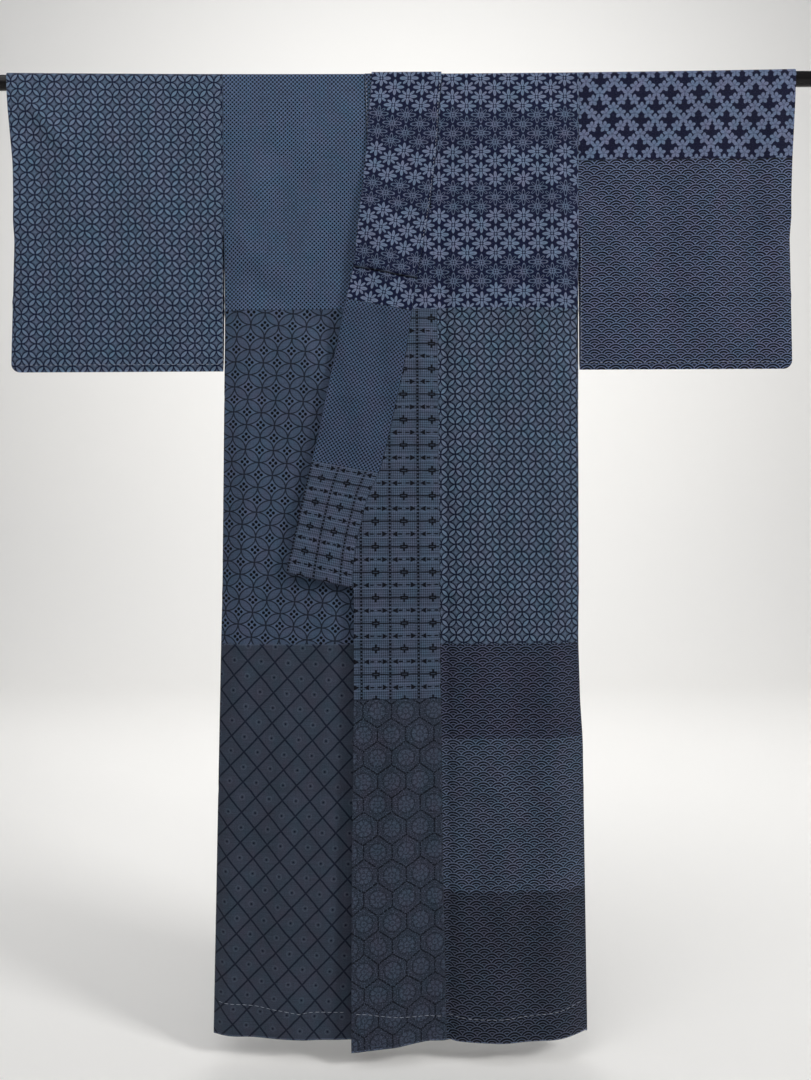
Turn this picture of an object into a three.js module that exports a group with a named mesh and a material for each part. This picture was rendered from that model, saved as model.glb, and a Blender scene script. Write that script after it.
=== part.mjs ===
// A homongi kimono hung to show its fronts, on a lacquered rod that goes through both sleeves.
// Millimetres. X runs to the viewer's right, Y to the back and Z up, from the middle of the rod's axis.
// Left and right are the wearer's, so the left front is on +X and lies over the right front.
// Each piece is one cloth wall, worked out as an outer surface and the same surface moved inwards.

import * as THREE from 'three';

// The rod.
const ROD_LENGTH = 1440;
const ROD_DEPTH = 22;
const ROD_HEIGHT = 23.5;
const ROD_CORNER = 7;

// The weight bows the rod down in the middle, and the top of the garment with it.
const ROD_BOW = 4.8;
const BOW_HALF_SPAN = 650;
const BOW_REACH = 300;
const ROD_STEPS = 24;

// Walls, and the room between pieces that lie on each other or meet at a seam.
const CLOTH = 1.2;
const COLLAR_CLOTH = 1.8;
const FOLDED_COLLAR = 3;
const GAP = 0.3;

// Heights along the garment, measured from the rod's axis.
const HEM_Z = -1559;
const ARMHOLE_Z = -250;
const UNDERARM_Z = -380;
const WRIST_Z = -230;
const SLEEVE_FOOT_Z = -475;
const SLEEVE_CORNER = 14;
const COLLAR_FOOT_Z = -830;
const OVER_COLLAR_FOOT_Z = -329;
const COLLAR_OVERLAP = 12;
const OKUMI_TOP_Z = -200;
const OKUMI_TIP_Z = -215;
const BACK_NECK_DROP = 58;
const BACK_COLLAR_HEIGHT = 57;

// How far each layer's outer face stands from the rod where it passes over it.
const UNDER_RISE = GAP + CLOTH;
const UNDER_COLLAR_RISE = GAP + COLLAR_CLOTH;
const OVER_RISE = UNDER_COLLAR_RISE + GAP + CLOTH;
const OVER_COLLAR_RISE = UNDER_COLLAR_RISE + GAP + COLLAR_CLOTH;
const TOP_COLLAR_RISE = OVER_COLLAR_RISE + GAP + COLLAR_CLOTH;
const BACK_COLLAR_RISE = OVER_COLLAR_RISE + GAP + FOLDED_COLLAR;

// The left front lies clear of the right one, and its front edge hangs forward and low at the hem.
const OVERLAP_ROOM = 4.5;
const OVERLAP_LIFT = 13;
const OVERLAP_SAG = 10;
const BACK_BULGE = 9;
const SIDE_ROUND = 45;

// How far the hem of the fronts hangs forward, and below its height at the right side.
const HEM_SHAPE = [
  { x: -315, forward: 0, sag: 0 },
  { x: -250, forward: 0, sag: 0 },
  { x: -185, forward: 10, sag: 0 },
  { x: -150, forward: 12, sag: 1 },
  { x: -95, forward: 9, sag: 0 },
  { x: 66, forward: 7, sag: 0 },
  { x: 126, forward: 15, sag: 0 },
  { x: 160, forward: 17, sag: 0 },
  { x: 225, forward: 7, sag: 0 },
  { x: 270, forward: 1, sag: -2 },
  { x: 298, forward: 0, sag: -3 },
];

// Side edges of the body and outer edges of the sleeves.
const BODY_SIDES = [
  { z: 20, right: -290, left: 289 },
  { z: -380, right: -290, left: 289 },
  { z: -830, right: -296.5, left: 287.5 },
  { z: -917, right: -299, left: 286.5 },
  { z: -1017, right: -301.5, left: 289 },
  { z: -1080, right: -303, left: 293 },
  { z: -1559, right: -314.5, left: 298 },
];
const SLEEVE_SIDES = [
  { z: 20, right: -642, left: 643.5 },
  { z: -40, right: -640.5, left: 641.5 },
  { z: -137, right: -633, left: 637 },
  { z: -200, right: -633, left: 635.5 },
  { z: -460, right: -641, left: 639.5 },
];

// Half the depth of the cloth tube along the armhole, at the body's side and at the sleeve.
const TUBE_DEPTHS = [
  { z: 20, body: 12.5, sleeve: 12.5 },
  { z: 0, body: 12.5, sleeve: 12.5 },
  { z: -60, body: 11.6, sleeve: 11.6 },
  { z: -250, body: 7.8, sleeve: 7.8 },
  { z: -380, body: 2.2, sleeve: 5.4 },
  { z: -473, body: 2.2, sleeve: 4.2 },
];

// The collar's seam and free edges on the left front, and the seam edge on the right one under it.
const COLLAR_EDGES = [
  { z: 0, seam: 66.6, free: -47.2, under: -58.8 },
  { z: -44, seam: 61.8, free: -51, under: -57.5 },
  { z: -98, seam: 59.3, free: -55, under: -55.9 },
  { z: -155, seam: 52.6, free: -60, under: -50 },
  { z: -200, seam: 47.6, free: -66, under: -41.6 },
  { z: -280, seam: 33.8, free: -74, under: -27.8 },
  { z: -322, seam: 25.3, free: -79.5, under: -19.3 },
  { z: -382, seam: 16.1, free: -94, under: -10.1 },
  { z: -471, seam: 3.2, free: -112, under: 2.8 },
  { z: -592, seam: -24.2, free: -137.5, under: 30.2 },
  { z: -642, seam: -37.1, free: -150.5, under: 43.1 },
  { z: -681, seam: -56.4, free: -160, under: 62.4 },
  { z: -761, seam: -76.4, free: -178, under: 82.4 },
  { z: -804, seam: -81.5, free: -188, under: 87.5 },
  { z: -830, seam: -82, free: -190.5, under: 88 },
];

// How much higher the collar's free edge ends than its seam edge, on the same line across it.
const COLLAR_TILT = [
  { z: 0, rise: 0 },
  { z: -329, rise: 19 },
  { z: -642, rise: 20 },
  { z: -830, rise: 25 },
];

// The front gore: its seam to the body, and its own front edge below the collar.
const OKUMI_EDGES = [
  { z: -200, seam: 47.6, front: -79.5 },
  { z: -268, seam: 50.1, front: -79.5 },
  { z: -333, seam: 54.8, front: -79.5 },
  { z: -414, seam: 58, front: -79.5 },
  { z: -849, seam: 59.4, front: -79.5 },
  { z: -1010, seam: 60.2, front: -80.5 },
  { z: -1248, seam: 61.5, front: -84.5 },
  { z: -1559, seam: 67, front: -86.5 },
];

// The right front mirrors the left one about this line.
const MIRROR_X = 3;

// The largest folds on the fronts and sleeves, each a soft ridge (or a trough, below nought).
const FOLDS = [
  { x0: -628, z0: -12, x1: -560, z1: -88, width: 16, height: 2 },
  { x0: -276, z0: -240, x1: -232, z1: -300, width: 15, height: 2.5 },
  { x0: 306, z0: -175, x1: 424, z1: -310, width: 20, height: -2.5 },
  { x0: 284, z0: -545, x1: 190, z1: -740, width: 24, height: -4 },
  { x0: 80, z0: -1095, x1: 176, z1: -1185, width: 28, height: 3.5 },
  { x0: -146, z0: -1470, x1: -140, z1: -1556, width: 22, height: -3 },
  { x0: 69, z0: -330, x1: 73, z1: -1556, width: 5, height: -3.5 },
];

// Where the grids have their rows and columns.
const TOP_TURNS = [-13, -9.5, -6, -2, 2, 6, 9.5, 13];
const FRONT_HEIGHTS = [
  4, -12, -29, -60, -100, -150, -200, -215, -250, -290, -317, -329, -352, -380, -440, -500, -560,
  -620, -643, -681, -725, -775, -830, -900, -980, -1060, -1140, -1220, -1300, -1380, -1450, -1510, HEM_Z,
];
const BACK_NECK_SHARES = [0.18, 0.32, 0.45, 0.57, 0.68, 0.77, 0.84, 0.9, 0.95, 0.98, 1];
const BACK_HEIGHTS = [-80, -160, -250, -315];
const BODY_COLUMNS = [0, 0.035, 0.08, 0.16, 0.3, 0.44, 0.57, 0.69, 0.79, 0.87, 0.93, 0.97, 1];
const SLEEVE_COLUMNS = [0, 0.1, 0.22, 0.34, 0.46, 0.58, 0.7, 0.82, 0.91, 0.97, 1];
const SLEEVE_HEIGHTS = [4, -30, -75, -120, -170, -210, WRIST_Z, ARMHOLE_Z, -300, -350, -400, -440];
const CORNER_ANGLES = [0, 30, 60, 90];
const STRIP_COLUMNS = [0, 0.25, 0.5, 0.75, 1];
const BACK_COLLAR_COLUMNS = [0, 0.04, 0.12, 0.25, 0.4, 0.5, 0.6, 0.75, 0.88, 0.96, 1];
const NECK_CLEARANCE = 0.9;
const NECK_STAND_SHARES = [1, 0.75, 0.5, 0.25, 0];
const LEAST_STAND = 1;

const FLAT_TOP = ROD_DEPTH / 2 - ROD_CORNER;
const TURN_LENGTH = (ROD_CORNER * Math.PI) / 2;
const SHOULDER_Z = ROD_HEIGHT / 2 - ROD_CORNER;

const indigo = (name, colour) =>
  new THREE.MeshStandardMaterial({ name, color: colour, roughness: 0.85, metalness: 0 });
const FINISHES = {
  slate: indigo('slate_weave', 0x46587a),
  teal: indigo('teal_weave', 0x3e5878),
  navy: indigo('navy_weave', 0x2c3a5c),
  lacquer: new THREE.MeshStandardMaterial({
    name: 'black_lacquer', color: 0x14141a, roughness: 0.25, metalness: 0,
  }),
};

// A value between two others, and the share from 0 to 1 of a soft step between two places.
const mix = (from, to, share) => from + (to - from) * share;
const step = (value, from, to) => {
  const share = Math.min(Math.max((value - from) / (to - from), 0), 1);
  return share * share * (3 - 2 * share);
};

// A table's column at a place, on straight lines between its rows.
function at(table, column, place, key = 'z') {
  for (let row = 1; row < table.length; row += 1) {
    const from = table[row - 1];
    const to = table[row];
    const share = (place - from[key]) / (to[key] - from[key]);
    if (share <= 1) return mix(from[column], to[column], Math.max(share, 0));
  }
  return table[table.length - 1][column];
}

// A point on the cloth that passes over the rod. turn is the way round the rod's own surface from
// the middle of its top, below nought to the front; rise is the cloth's distance from the rod.
function overRod(turn, rise) {
  const way = Math.abs(turn);
  const side = Math.sign(turn) || 1;
  if (way <= FLAT_TOP) return { y: turn, z: ROD_HEIGHT / 2 + rise };
  if (way <= FLAT_TOP + TURN_LENGTH) {
    const angle = (way - FLAT_TOP) / ROD_CORNER;
    const reach = ROD_CORNER + rise;
    return {
      y: side * (FLAT_TOP + reach * Math.sin(angle)),
      z: SHOULDER_Z + reach * Math.cos(angle),
    };
  }
  return { y: side * (ROD_DEPTH / 2 + rise), z: SHOULDER_Z - (way - FLAT_TOP - TURN_LENGTH) };
}

// Height of all ridges and troughs at a point of the front. Each fades over its ends.
function foldHeight(x, z) {
  let height = 0;
  for (const fold of FOLDS) {
    const runX = fold.x1 - fold.x0;
    const runZ = fold.z1 - fold.z0;
    const length = Math.hypot(runX, runZ);
    const along = ((x - fold.x0) * runX + (z - fold.z0) * runZ) / length;
    const across = ((x - fold.x0) * runZ - (z - fold.z0) * runX) / length;
    const past = Math.max(-along, along - length, 0);
    height += fold.height * Math.exp(-((across / fold.width) ** 2) - (past / (2 * fold.width)) ** 2);
  }
  return height;
}

// How far the fronts hang forward at a point, growing from nothing at the rod to the hem's shape.
const bulge = (x, z) => at(HEM_SHAPE, 'forward', x, 'x') * Math.max(z / HEM_Z, 0) ** 1.6;

// The extra lift of the left front, which lies on the right one, growing to its front edge.
const overlapLift = (x, z) =>
  OVERLAP_ROOM * step(-z, 60, 350) + OVERLAP_LIFT * Math.max(z / HEM_Z, 0) * step(-x, -60, 90);

// How far the front's cloth hangs below its level at the side, near the hem.
function hemSag(x, z, over) {
  const own = at(HEM_SHAPE, 'sag', x, 'x') + (over ? OVERLAP_SAG * step(-x, -60, 90) : 0);
  return own * Math.max(z / HEM_Z, 0) ** 8;
}

// How far a point of the garment or the rod is let down by the rod's bow.
const bowDrop = (x, z) =>
  ROD_BOW * Math.max(1 - (x / BOW_HALF_SPAN) ** 2, 0) * (1 - step(-z, 0, BOW_REACH));

// Depth of the body's front or back at a point: thin at the side, full past the side's round.
function bodyDepth(x, z, rise) {
  const side = at(BODY_SIDES, x < 0 ? 'right' : 'left', z);
  const inside = Math.min(Math.max(Math.abs(side) - Math.abs(x), 0) / SIDE_ROUND, 1);
  return mix(at(TUBE_DEPTHS, 'body', z), ROD_DEPTH / 2 + rise, Math.sin((inside * Math.PI) / 2));
}

// A point of a front at a height, inset from its outer face. over is true on the upper layer.
function frontPoint(x, z, rise, inset, over) {
  const lift = over ? overlapLift(x, z) : 0;
  const depth = bodyDepth(x, z, rise + lift) + bulge(x, z) + foldHeight(x, z) * step(-z, 0, 60);
  return [x, inset - depth, z - hemSag(x, z, over)];
}

// A point of the back at a height.
function backPoint(x, z, rise, inset) {
  const down = Math.min(z / HEM_Z, 1);
  const side = at(BODY_SIDES, x < 0 ? 'right' : 'left', z);
  const swell = BACK_BULGE * Math.max(down, 0) * Math.max(1 - (x / side) ** 2, 0);
  return [x, bodyDepth(x, z, rise) + swell - inset, z];
}

// A closed solid from a sheet of quads: the outer points, the same points moved in by the wall,
// and a rim along each edge that only one quad has.
function sheetSolid(name, finish, outer, inner, quads) {
  const count = outer.length;
  const points = [...outer, ...inner];
  const faces = [];
  const rims = new Map();
  for (const [a, b, c, d] of quads) {
    faces.push([a, b, c], [a, c, d]);
    faces.push([a + count, c + count, b + count], [a + count, d + count, c + count]);
    for (const [from, to] of [[a, b], [b, c], [c, d], [d, a]]) {
      if (!rims.delete(`${to},${from}`)) rims.set(`${from},${to}`, [from, to]);
    }
  }
  for (const [from, to] of rims.values()) {
    faces.push([to, from, from + count], [to, from + count, to + count]);
  }
  let volume = 0;
  for (const [a, b, c] of faces) {
    const corner = new THREE.Vector3(...points[a]);
    volume += corner.dot(new THREE.Vector3(...points[b]).cross(new THREE.Vector3(...points[c])));
  }
  const outward = volume > 0 ? faces : faces.map(([a, b, c]) => [a, c, b]);
  const geometry = new THREE.BufferGeometry();
  geometry.setAttribute('position', new THREE.Float32BufferAttribute(points.flat(), 3));
  geometry.setIndex(outward.flat());
  geometry.computeVertexNormals();
  const mesh = new THREE.Mesh(geometry, finish);
  mesh.name = name;
  return mesh;
}

// Quads of a grid whose points are stored row by row.
function gridQuads(rows, columns) {
  const quads = [];
  for (let row = 0; row + 1 < rows; row += 1) {
    for (let column = 0; column + 1 < columns; column += 1) {
      const corner = row * columns + column;
      quads.push([corner, corner + 1, corner + columns + 1, corner + columns]);
    }
  }
  return quads;
}

// A piece on a grid. pointAt gives the point of a row and a column at an inset from the outer face.
function gridPiece(name, finish, rows, columns, wall, pointAt, extraQuads = []) {
  const hungPoint = (row, column, inset) => {
    const [x, y, z] = pointAt(row, column, inset);
    return [x, y, z - bowDrop(x, z)];
  };
  const surface = (inset) => rows.flatMap((row) => columns.map((column) => hungPoint(row, column, inset)));
  const quads = [...gridQuads(rows.length, columns.length), ...extraQuads];
  return sheetSolid(name, finish, surface(0), surface(wall), quads);
}

// Quads that sew the last column of the front rows to the same rows of the back, up to a row.
function sideSeam(rows, columns, sewn) {
  const front = (row) => row * columns + columns - 1;
  const back = (row) => (rows - 1 - row) * columns + columns - 1;
  const quads = [];
  for (let row = 0; row < sewn; row += 1) {
    quads.push([front(row + 1), front(row), back(row), back(row + 1)]);
  }
  return quads;
}

// Quads that sew the first row to the last one, along the foot of a sleeve.
function footSeam(rows, columns) {
  const last = (rows - 1) * columns;
  const quads = [];
  for (let column = 0; column + 1 < columns; column += 1) {
    quads.push([column + 1, column, last + column, last + column + 1]);
  }
  return quads;
}

// A front's inner edge: the collar's seam down to the gore's top, then the gore's seam.
function frontEdge(isLeft, z) {
  if (z >= OKUMI_TOP_Z) {
    return isLeft ? at(COLLAR_EDGES, 'seam', z) + GAP / 2 : at(COLLAR_EDGES, 'under', z) - GAP / 2;
  }
  const seam = at(OKUMI_EDGES, 'seam', z) + GAP / 2;
  return isLeft ? seam : 2 * MIRROR_X - seam;
}

// A back's inner edge: the round of the neck, then the seam down the middle of the back.
function backEdge(isLeft, z) {
  const top = frontEdge(isLeft, 0);
  const sunk = Math.min((ROD_HEIGHT / 2 - z) / BACK_NECK_DROP, 1);
  const neck = Math.abs(top) * Math.sqrt(1 - sunk * sunk);
  return Math.sign(top) * Math.max(neck, GAP / 2);
}

// The height of the same round of the neck at a place across it.
function backNeckZ(x) {
  const share = Math.min(Math.abs(x / frontEdge(x > 0, 0)), 1);
  return ROD_HEIGHT / 2 - BACK_NECK_DROP * Math.sqrt(1 - share * share);
}

// One body panel, from the front hem over the rod to the back hem.
function bodyPanel(name, finish, isLeft) {
  const sideColumn = isLeft ? 'left' : 'right';
  const belowArm = FRONT_HEIGHTS.filter((z) => z < UNDERARM_Z);
  const frontRows = [...FRONT_HEIGHTS].reverse().map((z) => ({ place: 'front', z }));
  const topRows = TOP_TURNS.map((turn) => ({ place: 'top', turn }));
  const neckHeights = BACK_NECK_SHARES.map((share) => ROD_HEIGHT / 2 - BACK_NECK_DROP * share);
  const backHeights = [...neckHeights, ...BACK_HEIGHTS, UNDERARM_Z, ...belowArm];
  const rows = [...frontRows, ...topRows, ...backHeights.map((z) => ({ place: 'back', z }))];
  const pointAt = (row, column, inset) => {
    if (row.place === 'top') {
      const x = mix(frontEdge(isLeft, 0), at(BODY_SIDES, sideColumn, 0), column);
      const { y, z } = overRod(row.turn, UNDER_RISE - inset);
      return [x, y, z];
    }
    const closed = row.z <= UNDERARM_Z ? inset : 0;
    const side = at(BODY_SIDES, sideColumn, row.z);
    const seamSide = Math.sign(side) * (Math.abs(side) - closed);
    const edge = row.place === 'front' ? frontEdge(isLeft, row.z) : backEdge(isLeft, row.z);
    const x = mix(edge, column === 1 ? seamSide : side, column);
    if (row.place === 'back') return backPoint(x, row.z, UNDER_RISE, inset);
    const rise = isLeft ? mix(UNDER_RISE, OVER_RISE, step(-row.z, 12, 60)) : UNDER_RISE;
    return frontPoint(x, row.z, rise, inset, isLeft);
  };
  const seam = sideSeam(rows.length, BODY_COLUMNS.length, belowArm.length);
  return gridPiece(name, finish, rows, BODY_COLUMNS, CLOTH, pointAt, seam);
}

// One sleeve: open at the wrist, at the armhole and below it, closed along the foot.
function sleeve(name, finish, isLeft) {
  const sideColumn = isLeft ? 'left' : 'right';
  const sign = isLeft ? 1 : -1;
  const straight = SLEEVE_HEIGHTS.map((z) => ({ z }));
  const corner = CORNER_ANGLES.map((angle) => ({ angle: THREE.MathUtils.degToRad(angle) }));
  const down = [...straight, ...corner];
  const frontRows = [...down].reverse().map((row) => ({ ...row, place: -1 }));
  const backRows = down.map((row) => ({ ...row, place: 1 }));
  const rows = [...frontRows, ...TOP_TURNS.map((turn) => ({ turn })), ...backRows];
  const pointAt = (row, column, inset) => {
    if ('turn' in row) {
      const { y, z } = overRod(row.turn, UNDER_RISE - inset);
      const top = at(BODY_SIDES, sideColumn, 0) + sign * GAP;
      return [mix(top, at(SLEEVE_SIDES, sideColumn, 0), column), y, z];
    }
    let { z } = row;
    let reach = 0;
    if ('angle' in row) {
      const radius = SLEEVE_CORNER - inset;
      z = SLEEVE_FOOT_Z + SLEEVE_CORNER - radius * Math.sin(row.angle);
      reach = SLEEVE_CORNER - radius * Math.cos(row.angle);
    } else if (z < WRIST_Z) {
      reach = inset;
    }
    const slit = z < ARMHOLE_Z ? 2 : 0;
    const inner = at(BODY_SIDES, sideColumn, z) + sign * (GAP + slit);
    const x = mix(inner, at(SLEEVE_SIDES, sideColumn, z) - sign * reach, column);
    const folds = row.place < 0 ? foldHeight(x, z) * step(-z, 0, 60) * step(-z, -SLEEVE_FOOT_Z, 400) : 0;
    return [x, row.place * (at(TUBE_DEPTHS, 'sleeve', z) + folds - inset), z];
  };
  const columns = SLEEVE_COLUMNS.length;
  const sewn = CORNER_ANGLES.length - 1 + SLEEVE_HEIGHTS.filter((z) => z <= WRIST_Z).length;
  const seams = [...sideSeam(rows.length, columns, sewn), ...footSeam(rows.length, columns)];
  return gridPiece(name, finish, rows, SLEEVE_COLUMNS, CLOTH, pointAt, seams);
}

// One front gore, from a narrow tip at the collar's seam down to the hem.
function okumi(name, finish, isLeft) {
  const rows = FRONT_HEIGHTS.filter((z) => z <= OKUMI_TIP_Z);
  const pointAt = (z, column, inset) => {
    const outside = z > COLLAR_FOOT_Z ? at(COLLAR_EDGES, 'seam', z) : at(OKUMI_EDGES, 'front', z);
    const across = mix(outside + GAP / 2, at(OKUMI_EDGES, 'seam', z) - GAP / 2, column);
    const x = isLeft ? across : 2 * MIRROR_X - across;
    return frontPoint(x, z, isLeft ? OVER_RISE : UNDER_RISE, inset, isLeft);
  };
  return gridPiece(name, finish, rows, STRIP_COLUMNS, CLOTH, pointAt);
}

// The collar's edges on a front at the height of its seam edge.
function collarEdges(isLeft, z) {
  const freeZ = z + at(COLLAR_TILT, 'rise', z);
  const free = at(COLLAR_EDGES, 'free', freeZ);
  if (isLeft) return { seam: at(COLLAR_EDGES, 'seam', z) - GAP / 2, free, freeZ };
  return { seam: at(COLLAR_EDGES, 'under', z) + GAP / 2, free: 2 * MIRROR_X - free, freeZ };
}

// A stretch of the collar on a front, between two heights of its seam edge. riseAt gives its
// outer face's distance from the rod. With overTop it goes on over the rod to the back.
function collarStretch(name, finish, isLeft, fromZ, toZ, riseAt, overTop) {
  const heights = FRONT_HEIGHTS.filter((z) => z <= fromZ && z >= toZ).reverse();
  const rows = heights.map((z) => ({ z }));
  if (overTop) rows.push(...TOP_TURNS.map((turn) => ({ turn })));
  const pointAt = (row, column, inset) => {
    if ('turn' in row) {
      const { y, z } = overRod(row.turn, riseAt(SHOULDER_Z) - inset);
      const top = collarEdges(isLeft, 0);
      return [mix(top.free, top.seam, column), y, z];
    }
    const edges = collarEdges(isLeft, row.z);
    const x = mix(edges.free, edges.seam, column);
    return frontPoint(x, mix(edges.freeZ, row.z, column), riseAt(row.z), inset, isLeft);
  };
  return gridPiece(name, finish, rows, STRIP_COLUMNS, COLLAR_CLOTH, pointAt);
}

// The over-collar round the back of the neck, folded along its length. It stands on the neck's
// seam behind the rod, and its fold lies on the ends of both front stretches.
function backCollar(name, finish) {
  const straight = FLAT_TOP + TURN_LENGTH;
  const foldTurn = straight + SHOULDER_Z - backNeckZ(0) - BACK_COLLAR_HEIGHT;
  const onRod = [...TOP_TURNS].reverse().filter((turn) => turn > foldTurn);
  const rows = [...NECK_STAND_SHARES.map((share) => ({ share })), ...onRod.map((turn) => ({ turn }))];
  const pointAt = (row, column, inset) => {
    const x = mix(frontEdge(false, 0) + GAP, frontEdge(true, 0) - GAP, column);
    const stand = Math.max(SHOULDER_Z - backNeckZ(x) - NECK_CLEARANCE, LEAST_STAND);
    const turn = 'turn' in row ? row.turn : straight + stand * row.share;
    const outermost = mix(GAP + FOLDED_COLLAR, BACK_COLLAR_RISE, step(-turn, -30, -18));
    const { y, z } = overRod(turn, outermost - inset);
    return [x, y, z];
  };
  return gridPiece(name, finish, rows, BACK_COLLAR_COLUMNS, FOLDED_COLLAR, pointAt);
}

// The rod: a bar with rounded corners, along X, bowed in the middle.
function rod(name) {
  const outline = new THREE.Shape();
  const halfDepth = ROD_DEPTH / 2;
  const halfHeight = ROD_HEIGHT / 2;
  const corners = [[1, 1, 0], [-1, 1, 90], [-1, -1, 180], [1, -1, 270]];
  for (const [right, up, startDegrees] of corners) {
    const start = THREE.MathUtils.degToRad(startDegrees);
    const x = right * (halfHeight - ROD_CORNER);
    const y = up * (halfDepth - ROD_CORNER);
    outline.absarc(x, y, ROD_CORNER, start, start + Math.PI / 2, false);
  }
  const geometry = new THREE.ExtrudeGeometry(outline, {
    depth: ROD_LENGTH, bevelEnabled: false, curveSegments: 6, steps: ROD_STEPS,
  });
  geometry.translate(0, 0, -ROD_LENGTH / 2);
  geometry.rotateY(Math.PI / 2);
  const points = geometry.getAttribute('position');
  for (let index = 0; index < points.count; index += 1) {
    points.setZ(index, points.getZ(index) - bowDrop(points.getX(index), 0));
  }
  geometry.computeVertexNormals();
  const mesh = new THREE.Mesh(geometry, FINISHES.lacquer);
  mesh.name = name;
  return mesh;
}

// The left over-collar is lifted at its lower end, where it lies on the collar's own top.
const leftOverRise = (z) => mix(TOP_COLLAR_RISE, OVER_COLLAR_RISE, step(z, OVER_COLLAR_FOOT_Z + 20, -200));
const overCollarTop = FRONT_HEIGHTS[0];
const leftCollarTop = OVER_COLLAR_FOOT_Z + COLLAR_OVERLAP;

const kimono = new THREE.Group();
kimono.add(
  rod('rod'),
  bodyPanel('body_left', FINISHES.teal, true),
  bodyPanel('body_right', FINISHES.slate, false),
  sleeve('sleeve_left', FINISHES.navy, true),
  sleeve('sleeve_right', FINISHES.slate, false),
  okumi('okumi_left', FINISHES.navy, true),
  okumi('okumi_right', FINISHES.navy, false),
  collarStretch('collar_left', FINISHES.slate, true, leftCollarTop, COLLAR_FOOT_Z,
    () => OVER_COLLAR_RISE, false),
  collarStretch('over_collar_left', FINISHES.navy, true, overCollarTop, OVER_COLLAR_FOOT_Z,
    leftOverRise, true),
  collarStretch('collar_right', FINISHES.slate, false, OVER_COLLAR_FOOT_Z, COLLAR_FOOT_Z,
    () => UNDER_COLLAR_RISE, false),
  collarStretch('over_collar_right', FINISHES.slate, false, overCollarTop, OVER_COLLAR_FOOT_Z,
    () => UNDER_COLLAR_RISE, true),
  backCollar('over_collar_back', FINISHES.slate),
);

export default kimono;
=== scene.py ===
"""A homongi kimono hung to show its fronts, on a lacquered rod that goes through both sleeves.

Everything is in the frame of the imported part: X to the viewer's right, Y to the back, Z up, from the middle of
the rod's axis. Sizes are in millimetres and become metres where a mesh is made. Left and right are the wearer's,
so the left front is on +X and lies over the right front.
"""

import math

import bpy
import numpy as np
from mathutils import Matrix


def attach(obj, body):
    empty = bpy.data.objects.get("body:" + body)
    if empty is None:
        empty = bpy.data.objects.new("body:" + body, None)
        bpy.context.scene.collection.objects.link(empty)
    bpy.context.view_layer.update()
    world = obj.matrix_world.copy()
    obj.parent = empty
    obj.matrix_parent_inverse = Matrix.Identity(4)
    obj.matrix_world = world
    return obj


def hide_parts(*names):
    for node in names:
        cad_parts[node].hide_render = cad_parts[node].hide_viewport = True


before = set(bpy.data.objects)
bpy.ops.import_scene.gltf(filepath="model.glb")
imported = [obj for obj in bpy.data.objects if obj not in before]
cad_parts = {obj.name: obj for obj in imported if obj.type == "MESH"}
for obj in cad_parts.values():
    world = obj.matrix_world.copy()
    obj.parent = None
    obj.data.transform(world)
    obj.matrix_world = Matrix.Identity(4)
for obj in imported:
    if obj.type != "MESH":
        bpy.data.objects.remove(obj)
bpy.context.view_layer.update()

# The stage: a camera level with the middle of the garment, a pale floor that rises into a plain wall well behind
# it, and soft lights above, in front and on the viewer's right, which is the side the photo is lit from.
CAMERA_PLACE = (0.004, -1.350, -0.753)
CAMERA_ROLL = math.radians(0.28)
CAMERA_LENS = 27.43

camera_data = bpy.data.cameras.new("camera")
camera_data.lens = CAMERA_LENS
camera_data.sensor_width = 36.0
camera_data.clip_start = 0.05
camera = bpy.data.objects.new("camera", camera_data)
camera.location = CAMERA_PLACE
camera.rotation_euler = (math.pi / 2, CAMERA_ROLL, 0.0)
bpy.context.scene.collection.objects.link(camera)
bpy.context.scene.camera = camera


def grid_mesh(name, points, uv=None, loop_rows=False):
    """A mesh of quads from points[row, column] in millimetres. uv[row, column] is in metres.

    With loop_rows the last row joins the first. Quads run from each point to the next column, the next row's
    next column and the next row, so the face looks along (next column) x (next row).
    """
    rows, columns = points.shape[:2]
    index = np.arange(rows * columns).reshape(rows, columns)
    if loop_rows:
        index = np.vstack([index, index[:1]])
    quads = np.stack([index[:-1, :-1], index[:-1, 1:], index[1:, 1:], index[1:, :-1]], axis=-1).reshape(-1, 4)
    mesh = bpy.data.meshes.new(name)
    mesh.from_pydata((points.reshape(-1, 3) / 1000.0).tolist(), [], quads.tolist())
    if uv is not None:
        layer = mesh.uv_layers.new(name="cloth")
        layer.data.foreach_set("uv", uv.reshape(-1, 2)[quads.ravel()].ravel().astype(np.float32))
    return placed(name, mesh)


def placed(name, mesh):
    """A smooth object of that mesh, in the scene."""
    mesh.polygons.foreach_set("use_smooth", np.full(len(mesh.polygons), True))
    mesh.update()
    piece = bpy.data.objects.new(name, mesh)
    bpy.context.scene.collection.objects.link(piece)
    return piece


def places(*parts):
    """Places on a grid from their parts (x, y and z, or u and v), each spread over the whole grid."""
    return np.stack(np.broadcast_arrays(*parts), axis=-1)


def plain_material(name, colour, roughness):
    """A material of one colour with its roughness."""
    material = bpy.data.materials.new(name)
    material.use_nodes = True
    shader = material.node_tree.nodes["Principled BSDF"]
    shader.inputs["Base Color"].default_value = (*colour, 1.0)
    shader.inputs["Roughness"].default_value = roughness
    return material


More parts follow.
